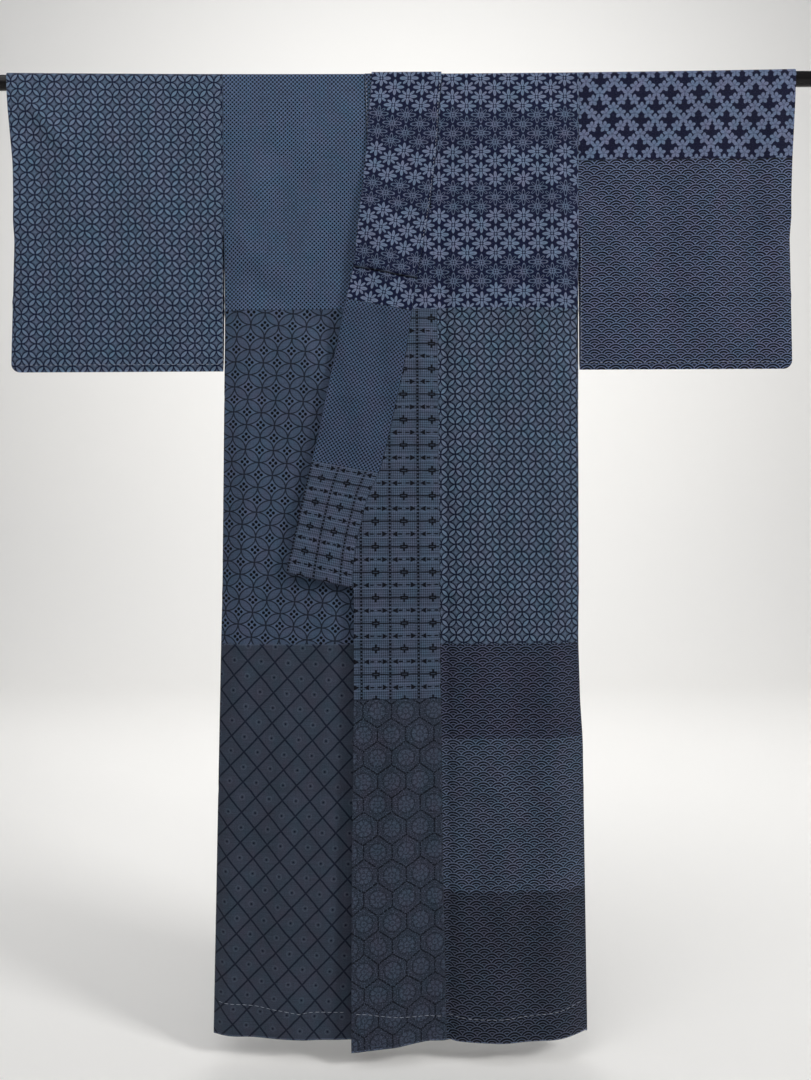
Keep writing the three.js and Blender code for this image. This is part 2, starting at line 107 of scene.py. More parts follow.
FLOOR_Z = -1600.0
BACKDROP_Y = 5200.0
BACKDROP_ROUND = 1800.0
STAGE_REACH = 9000.0
WALL_TOP = 6500.0
away = np.concatenate([[-STAGE_REACH], np.linspace(BACKDROP_Y - BACKDROP_ROUND, BACKDROP_Y, 24), [BACKDROP_Y]])
turned = np.clip((away - BACKDROP_Y + BACKDROP_ROUND) / BACKDROP_ROUND, 0, 1)
rising = FLOOR_Z + BACKDROP_ROUND * (1 - np.sqrt(1 - turned ** 2))
rising[-1] = WALL_TOP
stage_x = np.array([-STAGE_REACH, STAGE_REACH])
stage_points = places(stage_x[None, :], away[:, None], rising[:, None])
backdrop = grid_mesh("backdrop", stage_points)
backdrop.data.materials.append(plain_material("backdrop_pale", (0.93, 0.915, 0.885), 0.9))

for light_name, place, turn, size, watts in (
    ("light_top", (-0.8, -1.2, 1.4), (math.radians(48), 0, math.radians(-14)), 2.4, 33.0),
    ("light_left", (-2.2, -2.0, 0.3), (math.radians(78), 0, math.radians(-48)), 2.0, 3.0),
    ("light_right", (3.6, -2.2, 1.6), (math.radians(60), 0, math.radians(58)), 1.0, 120.0),
    ("light_back", (0.0, 1.2, 1.6), (math.radians(-40), 0, 0), 2.2, 12.0),
    ("light_wall", (0.0, 0.7, 2.4), (math.radians(80), 0, 0), 3.0, 155.0),
):
    light_data = bpy.data.lights.new(light_name, "AREA")
    light_data.size = size
    light_data.energy = watts
    light = bpy.data.objects.new(light_name, light_data)
    light.location = place
    light.rotation_euler = turn
    light.visible_camera = False
    bpy.context.scene.collection.objects.link(light)
world = bpy.data.worlds.new("studio")
world.use_nodes = True
world.node_tree.nodes["Background"].inputs["Color"].default_value = (0.9, 0.93, 1.0, 1.0)
world.node_tree.nodes["Background"].inputs["Strength"].default_value = 0.20
bpy.context.scene.world = world
bpy.context.scene.view_settings.view_transform = "Standard"

# The rod: a wooden bar with well rounded corners in black lacquer, which the kimono's weight bows a little. It is
# the rack's cross rod and goes through both sleeves under the shoulders. Its ends are cut square, softly edged.
# ROD_CORNER is the corner that the cloth bends round, and ROD_ROUND is the rod's own, which is rounder.
ROD_LENGTH = 1440.0
ROD_DEPTH = 22.0
ROD_HEIGHT = 23.5
ROD_CORNER = 7.0
ROD_ROUND = 10.8
ROD_EDGE = 0.8
ROD_STRAIGHT = 700.0
ROD_BOW = 4.8
BOW_HALF_SPAN = 650.0
BOW_REACH = 300.0


def rod_profile(inset):
    """The rod's outline in Y and Z: quarter circles of ROD_ROUND about four corner centres, moved in by inset."""
    quarter = np.linspace(0, math.pi / 2, 9)
    angle = np.concatenate([quarter + k * math.pi / 2 for k in range(4)])
    right = np.repeat([1, -1, -1, 1], 9) * (ROD_DEPTH / 2 - ROD_ROUND)
    up = np.repeat([1, 1, -1, -1], 9) * (ROD_HEIGHT / 2 - ROD_ROUND)
    radius = ROD_ROUND - inset
    return right + radius * np.cos(angle), up + radius * np.sin(angle)


def bow_drop(x, z):
    """How far the rod's bow lets a point down: ROD_BOW * (1 - (x / BOW_HALF_SPAN)^2), gone BOW_REACH mm below it."""
    middle = np.clip(1 - (x / BOW_HALF_SPAN) ** 2, 0, None)
    share = np.clip(-z / BOW_REACH, 0, 1)
    return ROD_BOW * middle * (1 - share * share * (3 - 2 * share))


ends = [(-ROD_LENGTH / 2, ROD_CORNER - 0.4), (-ROD_LENGTH / 2, ROD_EDGE), (-ROD_LENGTH / 2 + 0.25, ROD_EDGE / 3)]
ends += [(-ROD_LENGTH / 2 + ROD_EDGE, 0.0)] + [(x, 0.0) for x in np.linspace(-ROD_STRAIGHT, ROD_STRAIGHT, 57)]
ends += [(-x, inset) for x, inset in reversed(ends[:4])]
rod_columns = []
for x, inset in ends:
    y, z = rod_profile(inset)
    rod_columns.append(np.stack([np.full_like(y, x), y, z - bow_drop(x, 0.0)], axis=-1))
rod = grid_mesh("rod_lacquered", np.stack(rod_columns, axis=1), loop_rows=True)


def close_ends(piece):
    """Fills the open rims of a piece with faces and points all faces outwards."""
    import bmesh
    shape = bmesh.new()
    shape.from_mesh(piece.data)
    rims = [edge for edge in shape.edges if edge.is_boundary]
    bmesh.ops.holes_fill(shape, edges=rims, sides=0)
    bmesh.ops.recalc_face_normals(shape, faces=shape.faces)
    shape.to_mesh(piece.data)
    shape.free()


close_ends(rod)
lacquer = plain_material("black_lacquer", (0.010, 0.010, 0.012), 0.16)
lacquer_shader = lacquer.node_tree.nodes["Principled BSDF"]
lacquer_shader.inputs["Coat Weight"].default_value = 0.05
lacquer_shader.inputs["Coat Roughness"].default_value = 0.08
lacquer_shader.inputs["Specular IOR Level"].default_value = 0.16


def add_node(tree, kind, inputs=None, **settings):
    """A new node of a material with its settings and the values of its inputs."""
    node = tree.nodes.new("ShaderNode" + kind)
    for setting, value in settings.items():
        setattr(node, setting, value)
    for socket, value in (inputs or {}).items():
        node.inputs[socket].default_value = value
    return node


def join(tree, *pairs):
    """Links each pair of sockets, an output and the input that it feeds."""
    for output, to in pairs:
        tree.links.new(output, to)


def lacquer_finish(tree):
    """Brushed lacquer: faint long streaks vary the roughness from 0.11 to 0.26 and lift the black a little."""
    place = add_node(tree, "TexCoord")
    stretch = add_node(tree, "Mapping", {"Scale": (6.0, 260.0, 260.0)})
    streaks = add_node(tree, "TexNoise", {"Scale": 1.0, "Detail": 4.0})
    spread = add_node(tree, "MapRange", {"To Min": 0.11, "To Max": 0.26})
    black = add_node(tree, "ValToRGB")
    black.color_ramp.elements[0].color = (0.004, 0.004, 0.005, 1.0)
    black.color_ramp.elements[1].color = (0.012, 0.011, 0.011, 1.0)
    bump = add_node(tree, "Bump", {"Strength": 0.08, "Distance": 0.0002})
    shader = tree.nodes["Principled BSDF"]
    join(tree, (place.outputs["Object"], stretch.inputs["Vector"]),
         (stretch.outputs["Vector"], streaks.inputs["Vector"]),
         (streaks.outputs[0], spread.inputs["Value"]), (spread.outputs["Result"], shader.inputs["Roughness"]),
         (streaks.outputs[0], black.inputs[0]), (black.outputs["Color"], shader.inputs["Base Color"]),
         (streaks.outputs[0], bump.inputs["Height"]), (bump.outputs["Normal"], shader.inputs["Normal"]))


lacquer_finish(lacquer.node_tree)
rod.data.materials.append(lacquer)
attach(rod, "root")
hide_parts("rod")

# The body panels: two lengths of patterned indigo silk, each from the front hem over the rod to the back hem, sewn
# to itself at the side below the underarm opening. The left front lies over the right one.
# Walls and rises are in mm: each layer's outer face stands its rise clear of the rod where it passes over it.
CLOTH = 1.2
COLLAR_CLOTH = 1.8
FOLDED_COLLAR = 3.0
GAP = 0.3
HEM_Z = -1559.0
UNDER_RISE = GAP + CLOTH
UNDER_COLLAR_RISE = GAP + COLLAR_CLOTH
OVER_RISE = UNDER_COLLAR_RISE + GAP + CLOTH
OVER_COLLAR_RISE = UNDER_COLLAR_RISE + GAP + COLLAR_CLOTH
TOP_COLLAR_RISE = OVER_COLLAR_RISE + GAP + COLLAR_CLOTH
BACK_COLLAR_RISE = OVER_COLLAR_RISE + GAP + FOLDED_COLLAR
FLAT_TOP = ROD_DEPTH / 2 - ROD_CORNER
TURN_LENGTH = ROD_CORNER * math.pi / 2
STRAIGHT_TURN = FLAT_TOP + TURN_LENGTH
SHOULDER_Z = ROD_HEIGHT / 2 - ROD_CORNER
RIDGE = SHOULDER_Z + STRAIGHT_TURN
MIRROR_X = 3.0
OKUMI_TOP_Z = -200.0
OKUMI_TIP_Z = -215.0
BACK_NECK_DROP = 58.0
BACK_BULGE = 9.0
SIDE_ROUND = 45.0
OVERLAP_ROOM = 4.5
OVERLAP_LIFT = 13.0
OVERLAP_SAG = 10.0
ROD_TURNS = np.linspace(-14, 14, 19)

# Each table's first row is the place (x, or how far down), the others are its columns.
HEM_X = [-315, -250, -185, -150, -95, 66, 126, 160, 225, 270, 298]
HEM_FORWARD = [0, 0, 10, 12, 9, 7, 15, 17, 7, 1, 0]
HEM_SAG = [0, 0, 0, 1, 0, 0, 0, 0, 0, -2, -3]
BODY_DOWN = [-20, 380, 830, 917, 1017, 1080, 1559]
BODY_RIGHT = [-290, -290, -296.5, -299, -301.5, -303, -314.5]
BODY_LEFT = [289, 289, 287.5, 286.5, 289, 293, 298]
TUBE_DOWN = [0, 60, 250, 372, 390, 473]
TUBE_BODY = [12.5, 11.6, 7.8, 2.6, 1.0, 1.0]
TUBE_SLEEVE = [12.5, 11.6, 7.8, 5.4, 5.2, 4.2]
COLLAR_DOWN = [0, 44, 98, 155, 200, 280, 322, 382, 471, 592, 642, 681, 761, 804, 830]
COLLAR_SEAM = [66.6, 61.8, 59.3, 52.6, 47.6, 33.8, 25.3, 16.1, 3.2, -24.2, -37.1, -56.4, -76.4, -81.5, -82]
COLLAR_FREE = [-47.2, -51, -55, -60, -66, -74, -79.5, -94, -112, -137.5, -150.5, -160, -178, -188, -190.5]
COLLAR_UNDER = [-58.8, -57.5, -55.9, -50, -41.6, -27.8, -19.3, -10.1, 2.8, 30.2, 43.1, 62.4, 82.4, 87.5, 88]
TILT_DOWN = [0, 329, 642, 830]
TILT_RISE = [0, 19, 20, 25]
OKUMI_DOWN = [200, 268, 333, 414, 849, 1010, 1248, 1559]
OKUMI_SEAM = [47.6, 50.1, 54.8, 58, 59.4, 60.2, 61.5, 67]
OKUMI_FRONT = [-79.5, -79.5, -79.5, -79.5, -79.5, -80.5, -84.5, -86.5]

# Ridges (or troughs, below nought) of the fronts and sleeves, then of the backs: x and z of both ends, half width,
# height. First come the large ones, then soft ones, the flat creases of storage, and the collar's and gores' own.
FRONT_FOLDS = [
    (-628, -12, -555, -98, 13, 5.0), (-276, -240, -232, -300, 15, 2.5), (306, -175, 424, -310, 20, -2.5),
    (284, -545, 190, -740, 24, -4.0), (80, -1095, 176, -1185, 28, 3.5), (-146, -1470, -140, -1556, 22, -3.0),
    (69, -330, 73, -1556, 5, -3.5),
    (-255, -640, -263, -1080, 18, 2.2), (-192, -980, -206, -1500, 24, 3.7), (-122, -700, -128, -1440, 14, 2.7),
    (-232, -430, -214, -640, 20, -2.7), (-160, -420, -120, -560, 18, 2.5), (120, -600, 131, -980, 20, 2.9),
    (172, -900, 190, -1500, 24, -3.7), (236, -1010, 241, -1540, 20, 4.1), (254, -420, 262, -690, 14, -2.9),
    (-22, -900, -12, -1540, 18, 3.4), (32, -1050, 37, -1550, 14, -2.7), (-55, -1150, -60, -1540, 12, -2.0),
    (-601, -110, -583, -440, 26, -3.1), (-541, -60, -526, -300, 30, 2.5), (-482, -180, -468, -470, 24, -3.4),
    (-411, -90, -398, -420, 28, 2.9), (-351, -120, -344, -460, 20, -2.5), (358, -80, 350, -330, 26, 2.9),
    (428, -200, 439, -470, 24, -3.4), (498, -60, 506, -380, 30, 2.7), (571, -150, 582, -465, 24, -3.1),
    (612, -40, 600, -260, 16, 2.2), (84, -60, 232, -168, 22, 2.7), (-72, -64, -236, -190, 24, 2.9),
    (122, -300, 250, -358, 24, -2.7), (-252, -330, -118, -412, 26, -2.9), (100, -1240, 150, -1420, 22, -3.1),
    (-640, -360, -300, -359, 6, 1.9), (-300, -378, -20, -377, 6, 1.7), (60, -377, 290, -376, 6, 1.9),
    (-120, -520, 60, -521, 6, 1.5), (60, -521, 290, -519, 6, 2.0), (-300, -520, -130, -519, 6, -1.5),
    (-310, -838, -90, -837, 7, 1.7), (-84, -838, 60, -838, 7, 1.9), (64, -838, 292, -836, 7, 2.0),
    (-310, -1160, -96, -1161, 7, -1.7), (66, -1160, 300, -1158, 7, 1.7), (302, -352, 640, -355, 6, 1.9),
    (-100, -400, -62, -600, 16, 3.0), (-42, -385, -22, -570, 14, -3.0), (-62, -160, -32, -330, 18, 2.4),
    (12, -60, -6, -300, 12, -2.2), (66, -280, 72, -1540, 13, -3.4), (-118, -390, -112, -470, 12, -2.2),
    (30, -420, 36, -980, 12, 2.0), (-30, -840, -36, -1200, 14, -2.2), (-285, -1180, -292, -1530, 14, 2.6),
    (150, -420, 158, -760, 16, -2.4), (262, -60, 240, -330, 16, 2.2), (-190, -70, -198, -330, 22, -2.2),
]
BACK_FOLDS = [
    (-250, -230, -206, -330, 18, 3.1), (252, -232, 196, -322, 18, 2.8), (-120, -470, -128, -980, 22, 2.5),
    (112, -620, 126, -1130, 24, -3.1), (-214, -760, -226, -1480, 26, 3.4), (206, -880, 214, -1520, 26, 3.6),
    (-34, -900, -30, -1540, 16, -2.2), (38, -960, 33, -1540, 18, 2.2), (-272, -1160, -279, -1540, 14, -2.2),
    (262, -430, 270, -900, 14, -2.1), (-84, -100, -206, -220, 26, 2.2), (90, -96, 220, -204, 26, 2.1),
    (-590, -120, -574, -430, 26, 2.5), (-506, -70, -520, -380, 28, -2.2), (-428, -140, -418, -460, 24, 2.4),
    (352, -110, 344, -430, 24, -2.1), (436, -70, 446, -350, 28, 2.2), (520, -150, 530, -460, 26, 2.5),
    (590, -60, 580, -300, 20, -2.0), (-300, -378, 290, -377, 6, 1.4), (-300, -521, 290, -519, 6, 1.5),
    (-306, -838, 292, -837, 7, 1.7), (-310, -1160, 300, -1159, 7, 1.4), (-640, -356, -300, -359, 6, 1.4),
    (300, -358, 640, -355, 6, 1.5),
]
SEAM_DIP = 0.6
SEAM_REACH = 4.0


def soft(down, column, at):
    """A table's value at a place: straight lines between its rows, averaged over 12 mm each way."""
    return np.mean([np.interp(at + shift, down, column) for shift in np.linspace(-12, 12, 7)], axis=0)


def share_of_step(value, start, end):
    """0 before start, 1 after end, and 3s^2 - 2s^3 between."""
    share = np.clip((value - start) / (end - start), 0, 1)
    return share * share * (3 - 2 * share)


def mix(start, end, share):
    """start + (end - start) * share."""
    return start + (end - start) * share


def over_rod(turn, rise):
    """Y and Z of cloth over the rod, turn mm round the rod from the middle of its top, rise mm clear of it.

    Flat for FLAT_TOP each way, then a quarter circle of radius ROD_CORNER + rise, then straight down.
    """
    way = np.abs(turn)
    angle = np.clip((way - FLAT_TOP) / ROD_CORNER, 0, math.pi / 2)
    reach = ROD_CORNER + rise
    out = np.minimum(way, FLAT_TOP) + reach * np.sin(angle)
    z = SHOULDER_Z + reach * np.cos(angle) - np.maximum(way - STRAIGHT_TURN, 0)
    return np.sign(turn) * out, z


def fold_height(folds, x, z):
    """Sum over the folds of height * exp(-(across / width)^2 - (past its end / twice the width)^2)."""
    height = np.zeros(np.broadcast(x, z).shape)
    for x0, z0, x1, z1, width, tall in folds:
        length = math.hypot(x1 - x0, z1 - z0)
        along = ((x - x0) * (x1 - x0) + (z - z0) * (z1 - z0)) / length
        across = ((x - x0) * (z1 - z0) - (z - z0) * (x1 - x0)) / length
        past = np.maximum(np.maximum(-along, along - length), 0)
        height += tall * np.exp(-(across / width) ** 2 - (past / (2 * width)) ** 2)
    return height


def seam_dip(x, edge, z):
    """How far cloth is drawn in beside a seam: SEAM_DIP * exp(-(way / reach)^2), puckered by a wave of 17 mm."""
    return SEAM_DIP * np.exp(-((x - edge) / SEAM_REACH) ** 2) * (1 + 0.4 * np.sin(z / 2.7))


def body_side(x, z):
    """The body's side edge on the side of x: BODY_RIGHT or BODY_LEFT at that height."""
    return np.where(x < 0, soft(BODY_DOWN, BODY_RIGHT, -z), soft(BODY_DOWN, BODY_LEFT, -z))


def body_depth(x, z, rise):
    """Half depth: the tube's at the side edge, and half the rod plus rise past SIDE_ROUND, on a quarter sine."""
    inside = np.clip((np.abs(body_side(x, z)) - np.abs(x)) / SIDE_ROUND, 0, 1)
    return mix(soft(TUBE_DOWN, TUBE_BODY, -z), ROD_DEPTH / 2 + rise, np.sin(inside * math.pi / 2))


def front_surface(x, z, rise, over, inset=0.0):
    """Points of a front: depth + forward(x) * (z / hem)^1.6 + folds, and on the upper layer its lift and sag."""
    down = np.clip(z / HEM_Z, 0, None)
    edge = share_of_step(-x, -60, 90)
    lift = (OVERLAP_ROOM * share_of_step(-z, 60, 350) + OVERLAP_LIFT * down * edge) if over else 0.0
    forward = soft(HEM_X, HEM_FORWARD, x) * down ** 1.6
    sag = (soft(HEM_X, HEM_SAG, x) + (OVERLAP_SAG * edge if over else 0.0)) * down ** 8
    folds = fold_height(FRONT_FOLDS, x, z) * share_of_step(-z, 0, 60)
    depth = body_depth(x, z, rise + lift) + forward + folds
    return places(x, inset - depth, z - sag)


def front_edge(is_left, z):
    """A front's inner edge: the collar's seam down to the gore's top, then the gore's seam."""
    seam = soft(OKUMI_DOWN, OKUMI_SEAM, -z) + GAP / 2
    low = seam if is_left else 2 * MIRROR_X - seam
    high = soft(COLLAR_DOWN, COLLAR_SEAM if is_left else COLLAR_UNDER, -z) + (GAP if is_left else -GAP) / 2
    return np.where(z >= OKUMI_TOP_Z, high, low)


def back_edge(is_left, z):
    """A back's inner edge: an ellipse round the neck, then the seam down the middle."""
    top = front_edge(is_left, 0.0)
    sunk = np.clip((ROD_HEIGHT / 2 - z) / BACK_NECK_DROP, 0, 1)
    return np.sign(top) * np.maximum(np.abs(top) * np.sqrt(1 - sunk * sunk), GAP / 2)


def body_panel(name, is_left, thickness):
    """A panel: rows up the front, over the rod and down the back; columns from the inner edge to the side.

    Rows are about 4.5 mm apart and follow the neck's ellipse more closely. Columns crowd at both edges.
    """
    front_z = np.concatenate([np.linspace(HEM_Z, -420, 260), np.linspace(-415.5, 4, 94)])
    neck_z = ROD_HEIGHT / 2 - BACK_NECK_DROP * np.array([.14, .3, .45, .58, .7, .8, .88, .94, .975, .99, 1])
    back_z = np.concatenate([neck_z, np.linspace(-50, -415, 64), np.linspace(-421, HEM_Z, 190)])
    column = np.concatenate([[0, .004, .012, .024], np.linspace(.045, .9, 46), [.925, .945, .962, .976, .988, 1]])
    c = column[None, :]
    side_table = BODY_LEFT if is_left else BODY_RIGHT
    z = front_z[:, None]
    rise = mix(UNDER_RISE, OVER_RISE, share_of_step(-z, 12, 60)) if is_left else UNDER_RISE
    x = mix(front_edge(is_left, z), soft(BODY_DOWN, side_table, -z), c)
    front = front_surface(x, z, rise, is_left)
    front[..., 1] += seam_dip(x, front_edge(is_left, z), z) * share_of_step(-z, 0, 40)
    y, top_z = over_rod(ROD_TURNS[:, None], UNDER_RISE)
    x = mix(front_edge(is_left, 0.0), soft(BODY_DOWN, side_table, 0.0), c)
    top = places(x, y, top_z)
    z = back_z[:, None]
    x = mix(back_edge(is_left, z), soft(BODY_DOWN, side_table, -z), c)
    swell = BACK_BULGE * np.clip(z / HEM_Z, 0, 1) * np.clip(1 - (x / body_side(x, z)) ** 2, 0, None)
    folds = fold_height(BACK_FOLDS, x, z) * share_of_step(-z, 50, 110) - seam_dip(x, back_edge(is_left, z), z)
    back = places(x, body_depth(x, z, UNDER_RISE) + swell + folds, z)
    points = np.concatenate([front, top, back])
    v = np.concatenate([front_z, RIDGE + ROD_TURNS, 2 * RIDGE - back_z])
    uv = places(points[..., 0], v[:, None]) / 1000.0
    return cloth_piece(name, points, uv, thickness)


def cloth_piece(name, points, uv, thickness):
    """A cloth wall whose points are its outer surface, let down by the rod's bow.

    The grid is turned over where its first row's faces look inwards, to +Y.
    """
    points = points.copy()
    points[..., 2] -= bow_drop(points[..., 0], points[..., 2])
    across = points[0, -1] - points[0, 0]
    up = points[3, 0] - points[0, 0]
    if np.cross(across, up)[1] > 0:
        points, uv = points[:, ::-1], uv[:, ::-1]
    return walled(name, points, uv, thickness)


def walled(name, points, uv, thickness):
    """A grid surface with a Solidify modifier that gives it its thickness on the side away from its faces."""
    piece = grid_mesh(name, points, uv)
    wall = piece.modifiers.new("wall", "SOLIDIFY")
    wall.thickness = thickness / 1000.0
    wall.offset = -1.0
    wall.use_even_offset = False
    return piece


class Field:
    """A number that a material works out at each point. Sums, differences and products of fields add Math nodes."""

    def __init__(self, tree, socket):
        self.tree = tree
        self.socket = socket

    def __add__(self, other):
        return number("ADD", self, other)

    def __sub__(self, other):
        return number("SUBTRACT", self, other)

    def __rsub__(self, other):
        return number("SUBTRACT", other, self)

    def __mul__(self, other):
        return number("MULTIPLY", self, other)

    __radd__ = __add__
    __rmul__ = __mul__


def number(operation, *values):
    """The field that one Math node makes of fields and plain numbers."""
    tree = next(value.tree for value in values if isinstance(value, Field))
    node = add_node(tree, "Math", operation=operation)
    for place, value in enumerate(values):
        if isinstance(value, Field):
            tree.links.new(value.socket, node.inputs[place])
        else:
            node.inputs[place].default_value = value
    return Field(tree, node.outputs[0])


def below(x, limit, blur):
    """1 below the limit and 0 above it, with an edge blur wide."""
    result = number("MULTIPLY_ADD", x, -1 / blur, limit / blur + 0.5)
    result.socket.node.use_clamp = True
    return result


def size_of(x):
    """The field without its sign."""
    return number("ABSOLUTE", x)


def line_at(x, place, half_width, blur):
    """1 within half_width of the place and 0 past it."""
    return below(size_of(x - place), half_width, blur)


def off_centre(x):
    """What is left of x over the nearest whole number, -0.5 to 0.5."""
    return x - number("ROUND", x)


def ripple(x, length):
    """The cosine wave of x that repeats after that length."""
    return number("COSINE", x * (2 * math.pi / length))


def nearest(x, centre, step, shift=0.0):
    """The way from the nearest of a row of centres, one every step; the shift moves the row by a share of a step."""
    return off_centre((x - centre) * (1 / step) + shift) * step


def distance(x, y):
    """The square root of x * x + y * y."""
    return number("SQRT", x * x + y * y)


def between(share, start, end):
    """start + (end - start) * share, for numbers or fields."""
    return share * (end - start) + start


def most(first, *others):
    """The greatest of some fields."""
    for other in others:
        first = number("MAXIMUM", first, other)
    return first


def least(first, *others):
    """The least of some fields."""
    for other in others:
        first = number("MINIMUM", first, other)
    return first


def ellipse(x, y, centre, radii, turn=0.0):
    """1 on an ellipse's edge and less inside: the root of the sum of the squares of the ways over the radii."""
    c, s = math.cos(math.radians(turn)), math.sin(math.radians(turn))
    right, up = x - centre[0], y - centre[1]
    return distance((right * c + up * s) * (1 / radii[0]), (up * c - right * s) * (1 / radii[1]))


def noise(u, v, across, up, detail=2.0):
    """Noise from -1 to 1 whose spots are about across by up millimetres."""
    place = add_node(u.tree, "CombineXYZ")
    spots = add_node(u.tree, "TexNoise", {"Scale": 1.0, "Detail": detail}, noise_dimensions="2D")
    join(u.tree, ((u * (1 / across)).socket, place.inputs[0]), ((v * (1 / up)).socket, place.inputs[1]),
         (place.outputs[0], spots.inputs["Vector"]))
    return (Field(u.tree, spots.outputs[0]) - 0.5) * 2.6


def half_drop(u, v, centre, width, height, tilt=0.0):
    """The nearest cell of a half-drop layout: its two diagonal shares, and x and y from its centre in mm."""
    c, s = math.cos(math.radians(tilt)), math.sin(math.radians(tilt))
    right, up = u - centre[0], v - centre[1]
    across = (right * c - up * s) * (2 / width)
    rise = (right * s + up * c) * (2 / height)
    p = off_centre((across + rise) * 0.5)
    q = off_centre((across - rise) * 0.5)
    return p, q, (p + q) * (width / 2), (p - q) * (height / 2)


def linked_rings(u, v, centre, width, height, tilt=0.0):
    """A cell of linked rings: the share past a ring's edge (below 0 in a star), the greater diagonal share, x, y."""
    p, q, x, y = half_drop(u, v, centre, width, height, tilt)
    far, near = most(size_of(p), size_of(q)), least(size_of(p), size_of(q))
    return distance(1 - far, near) - 0.7071, far, x, y


def small_rings(centre, star, leaf):
    """Linked rings 24 mm apart, outlined in the dark: stars with a small diamond, between faintly veined leaves."""
    def pattern(u, v):
        edge, far, x, y = linked_rings(u, v, centre, 23.6, 24.3)
        ring = line_at(edge, 0.0, 0.066, 0.05)
        vein = line_at(far, 0.5, 0.016, 0.03) * 0.2
        diamond = line_at(size_of(x) + size_of(y), 4.4, 0.55, 0.6) * 0.55
        ground = between(below(edge, 0.0, 0.02), star, leaf) + noise(u, v, 12.0, 9.0) * 0.16
        return ground * (1 - ring) * (1 - vein) * (1 - diamond)
    return pattern


def large_rings(u, v):
    """Linked rings 45 mm apart, leaning 2.7 degrees: fine outlines, and four black spots round each star's heart."""
    edge, _, x, y = linked_rings(u, v, (-246.8, -421.9), 45.4, 40.6, 2.7)
    ring = line_at(edge, 0.0, 0.036, 0.03)
    a, b = size_of(x), size_of(y)
    spots = below(least(distance(a - 4.6, b), distance(a, b - 4.6)), 2.5, 0.9)
    inner = line_at(distance(a, b), 9.6, 0.5, 0.6) * below(edge, 0.0, 0.02) * 0.3
    heart = below(a + b, 1.3, 0.8) * 0.6
    ground = between(below(edge, 0.0, 0.02), 0.86, 0.66) + heart
    return ground * (1 - ring * 0.85) * (1 - inner) - spots * 1.1


def lattice(u, v):
    """A net of slanting lines 44 by 49 mm, leaning 2.7 degrees, with a dot in each diamond."""
    p, q, x, y = half_drop(u, v, (-258.8, -1071.1), 44.3, 49.3, 2.7)
    far = most(size_of(p), size_of(q))
    lines = below(0.5 - far, 0.042, 0.03)
    dot = below(distance(x, y), 1.7, 0.9)
    halo = line_at(distance(x, y), 4.2, 0.8, 0.8) * 0.3
    return (0.66 + halo) * (1 - lines) * (1 - dot)


def wicker(u, v):
    """A close wicker: the product of two cosine waves 6.6 mm long leaves a dark dot on every second square."""
    check = ripple(u, 6.6) * ripple(v, 6.6)
    dots = 1 - below(check, 0.1, 0.3)
    stripes = ripple(v, 6.6) * 0.06
    return (0.92 + stripes) * (1 - dots)


def star_flowers(u, v):
    """Flowers of eight petals in a half-drop of 46 by 30 mm on a near-black ground, three bands only outlined."""
    x, y = half_drop(u, v, (197.8, -227.9), 45.6, 30.5)[2:]
    middle = v - y
    a, b = size_of(x), size_of(y)
    petal = least(ellipse(a, b, (9.2, 0.0), (6.6, 2.9)), ellipse(a, b, (0.0, 7.9), (2.5, 5.8)),
                  ellipse(a, b, (6.4, 6.0), (5.3, 2.0), 42.0))
    filled = below(petal, 0.95, 0.2)
    rim = line_at(petal, 0.85, 0.2, 0.12)
    heart = below(distance(a, b), 1.5, 0.8)
    band = most(line_at(middle, -81.5, 31, 2.0), line_at(middle, -198.5, 23, 2.0), line_at(middle, -320.0, 23, 2.0))
    veins = 1 - below(petal, 0.45, 0.2) * 0.22
    return between(band, most(filled * veins, heart), rim * 0.66 + heart * 0.8)


def waves(strength):
    """Overlapping fans 23 mm apart in rows of 8.3 mm: arcs every 4.1 mm, as a cosine of the way from the rim."""
    def pattern(u, v):
        width, step, radius = 23.45, 8.33, 15.5
        rows = (v + 989.3) * (1 / step)
        row = number("FLOOR", rows)
        odd = number("FLOORED_MODULO", row, 2.0) * 0.5
        up = (rows - row) * step
        upper = distance(nearest(u, 80.0, width, 0.0 - odd), up)
        lower = distance(nearest(u, 80.0, width, -0.5 - odd), up + step)
        in_lower = below(lower, radius, 0.3)
        way = between(in_lower, upper, lower)
        inside = below(way, radius, 0.5)
        arcs = ripple(radius - 0.9 - way, 4.1) * 1.6 - 0.6
        arcs.socket.node.use_clamp = True
        return between(inside, 0.0, arcs) * strength + (1 - strength) * 0.3
    return pattern


def dye(red, green, blue):
    """The colour of cloth, as a screen shows it from 0 to 255, as light shares."""
    return tuple((part / 255.0 / 12.92) if part < 10.4 else ((part / 255.0 + 0.055) / 1.055) ** 2.4
                 for part in (red, green, blue))


def blend(share, start, end):
    """A colour between two, each a socket or a plain colour."""
    node = add_node(share.tree, "Mix", data_type="RGBA")
    share.tree.links.new(share.socket, node.inputs[0])
    for place, colour in ((6, start), (7, end)):
        if isinstance(colour, tuple):
            node.inputs[place].default_value = (*colour, 1.0)
        else:
            share.tree.links.new(colour, node.inputs[place])
    return node.outputs[2]


